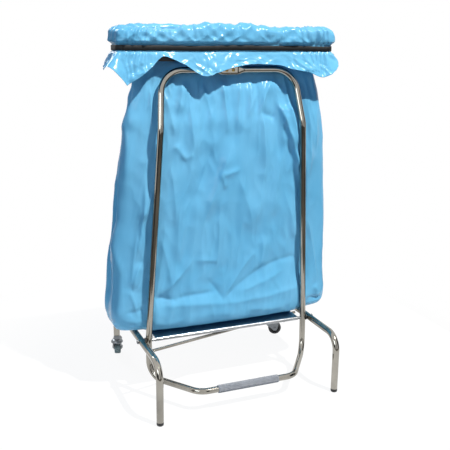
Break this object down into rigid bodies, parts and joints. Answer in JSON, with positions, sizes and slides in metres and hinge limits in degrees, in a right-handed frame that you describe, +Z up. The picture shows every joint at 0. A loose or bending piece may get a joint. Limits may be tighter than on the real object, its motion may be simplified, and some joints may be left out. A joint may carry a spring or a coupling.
{
  "type": "pedal bin bag holder",
  "caption": "Free-standing chrome tube bag holder with a swinging pedal loop, gripping jaws, an elastic mouth band, a film bag on a tray and braked swivel casters.",
  "frame": {"origin": "on the floor under the middle of the stand's width and depth", "axes": "+X to the user's right as they face the pedal, +Y from the pedal to the casters, +Z up; rest pose with the mouth closed"},
  "size_m": [0.6063, 0.4849, 0.9392],
  "materials": {
    "chrome": "bright chrome-plated steel tube",
    "caster_steel": "zinc-plated pressed steel",
    "steel": "plain zinc-plated steel",
    "tray_sheet": "bright folded sheet",
    "dark_plastic": "dark moulded plastic",
    "jaw_plastic": "black moulded plastic",
    "brass_rivet": "yellow passivated rivet",
    "band_rubber": "flat black rubber band",
    "film": "light blue glossy polyethylene film",
    "sleeve": "grey fluted rubber sleeve",
    "left_tyre": "grey rubber tread",
    "right_tyre": "black rubber tread"
  },
  "bodies": {
    "stand": {"left_side_frame": "chrome", "right_side_frame": "chrome", "rear_cross_tube": "chrome", "brace_rod": "chrome", "left_foot_cap": "dark_plastic", "right_foot_cap": "dark_plastic", "pivot_axle": "steel", "axle_nuts": "chrome", "pivot_washers": "dark_plastic", "tray": "tray_sheet", "tray_screws": "steel", "rear_hoop": "chrome", "rear_jaw": "jaw_plastic", "rear_rivets": "brass_rivet", "mouth_band": "band_rubber", "bag": "film", "left_caster_stem": "steel", "right_caster_stem": "steel"},
    "pedal_frame": {"pedal_loop": "chrome", "pedal_sleeve": "sleeve", "front_jaw": "jaw_plastic", "front_rivets": "brass_rivet"},
    "left_fork": {"left_caster_fork": "caster_steel", "left_caster_axle": "steel", "left_caster_balls": "steel", "left_brake_pin": "steel"},
    "left_wheel": {"left_caster_hub": "dark_plastic", "left_caster_tyre": "left_tyre"},
    "left_brake": {"left_brake_lever": "dark_plastic"},
    "right_fork": {"right_caster_fork": "caster_steel", "right_caster_axle": "steel", "right_caster_balls": "steel", "right_brake_pin": "steel"},
    "right_wheel": {"right_caster_hub": "dark_plastic", "right_caster_tyre": "right_tyre"},
    "right_brake": {"right_brake_lever": "dark_plastic"}
  },
  "joints": [
    {"name": "pedal", "type": "hinge", "parent": "stand", "child": "pedal_frame", "pos_m": [0, -0.08, 0.157], "axis": [1, 0, 0], "range_deg": [0, 12], "stiffness_Nm_per_rad": 20, "springref_deg": -20.05, "deforming": ["bag", "mouth_band"]},
    {"name": "left_swivel", "type": "hinge", "parent": "stand", "child": "left_fork", "pos_m": [-0.242, 0.186, 0.05], "axis": [0, 0, 1], "continuous": true},
    {"name": "left_roll", "type": "hinge", "parent": "left_fork", "child": "left_wheel", "pos_m": [-0.2344, 0.21086, 0.02], "axis": [-0.9563, 0.2924, 0], "continuous": true},
    {"name": "left_brake_press", "type": "hinge", "parent": "left_fork", "child": "left_brake", "pos_m": [-0.23221, 0.21804, 0.0435], "axis": [-0.9563, 0.2924, 0], "range_deg": [0, 15]},
    {"name": "right_swivel", "type": "hinge", "parent": "stand", "child": "right_fork", "pos_m": [0.242, 0.186, 0.05], "axis": [0, 0, 1], "continuous": true},
    {"name": "right_roll", "type": "hinge", "parent": "right_fork", "child": "right_wheel", "pos_m": [0.26673, 0.17797, 0.02], "axis": [0.309, 0.9511, 0], "continuous": true},
    {"name": "right_brake_press", "type": "hinge", "parent": "right_fork", "child": "right_brake", "pos_m": [0.27386, 0.17565, 0.0435], "axis": [0.309, 0.9511, 0], "range_deg": [0, 15]}
  ]
}
